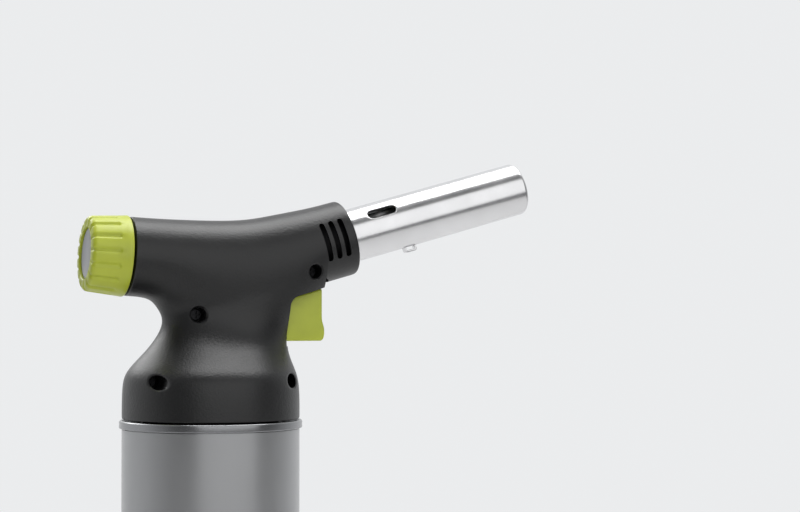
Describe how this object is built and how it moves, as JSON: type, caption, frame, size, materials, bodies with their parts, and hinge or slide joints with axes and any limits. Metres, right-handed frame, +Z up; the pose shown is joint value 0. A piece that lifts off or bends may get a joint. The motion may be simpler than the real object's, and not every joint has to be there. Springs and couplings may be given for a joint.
{
  "type": "kitchen blowtorch",
  "caption": "Hand-held gas torch: bent plastic head on a gas cartridge, ribbed valve knob behind, trigger in front and an upward-tilted steel burner tube.",
  "frame": {"origin": "on the surface that the cartridge stands on, at the middle of the object's footprint box", "axes": "+X towards the burner mouth, +Y to the left of the burner direction, away from the screw heads, +Z up along the cartridge axis"},
  "size_m": [0.1774, 0.068, 0.2586],
  "materials": {
    "housing": "fine spark-eroded grain",
    "accent": "satin yellow-green",
    "burner_steel": "polished stainless steel",
    "can_paint": "satin light grey lacquer",
    "seam": "bright tinplate",
    "disc": "brushed silver",
    "brass": "turned",
    "rubber": "matte",
    "nylon": "natural",
    "ceramic": "glazed white",
    "spring_steel": "drawn wire and zinc plate",
    "black_part": "moulded"
  },
  "bodies": {
    "cartridge": {"can_wall": "can_paint", "can_top": "seam", "can_bottom": "seam", "can_collar": "can_paint", "can_valve_cup": "seam", "can_valve_stem": "nylon", "can_valve_gasket": "rubber", "can_valve_spring": "spring_steel", "can_valve_housing": "nylon", "vapour_tube": "nylon"},
    "head": {"housing_near": "housing", "housing_far": "housing", "housing_screw_1": "spring_steel", "housing_screw_2": "spring_steel", "housing_screw_3": "spring_steel", "housing_screw_4": "spring_steel", "bayonet_ring": "spring_steel", "bayonet_screw_1": "spring_steel", "bayonet_screw_2": "spring_steel", "bayonet_screw_3": "spring_steel", "inlet_stem": "brass", "inlet_seal": "rubber", "valve_body": "brass", "gland_nut": "brass", "spindle_o_ring": "rubber", "gas_pipe": "brass", "jet_holder": "brass", "jet": "brass", "burner_plug": "brass", "burner_tube": "burner_steel", "burner_clip": "burner_steel", "flame_holder": "burner_steel", "electrode": "spring_steel", "electrode_insulator": "ceramic", "ignition_lead": "rubber", "piezo_body": "black_part"},
    "knob": {"gas_knob": "accent", "knob_disc": "disc"},
    "spindle": {"valve_spindle": "spring_steel"},
    "trigger": {"trigger": "accent", "piezo_plunger": "nylon", "trigger_spring": "spring_steel"}
  },
  "joints": [
    {"name": "head_twist", "type": "hinge", "parent": "cartridge", "child": "head", "pos_m": [-0.04007, 0, 0], "axis": [0, 0, 1], "range_deg": [0, 40]},
    {"name": "knob_turn", "type": "hinge", "parent": "head", "child": "knob", "pos_m": [-0.02557, 0, 0.2177], "axis": [-0.9981, 0, 0.061], "range_deg": [0, 450]},
    {"name": "spindle_travel", "type": "slide", "parent": "knob", "child": "spindle", "axis": [-0.9981, 0, 0.061], "range_m": [0, 0.00101]},
    {"name": "trigger_pull", "type": "slide", "parent": "head", "child": "trigger", "axis": [-1, 0, 0], "range_m": [0, 0.006], "stiffness_N_per_m": 400, "springref_m": -0.01, "deforming": ["trigger_spring"]}
  ],
  "couplings": [
    {"joint": "spindle_travel", "follows": "knob_turn", "m_per_rad": 0.00012732}
  ]
}
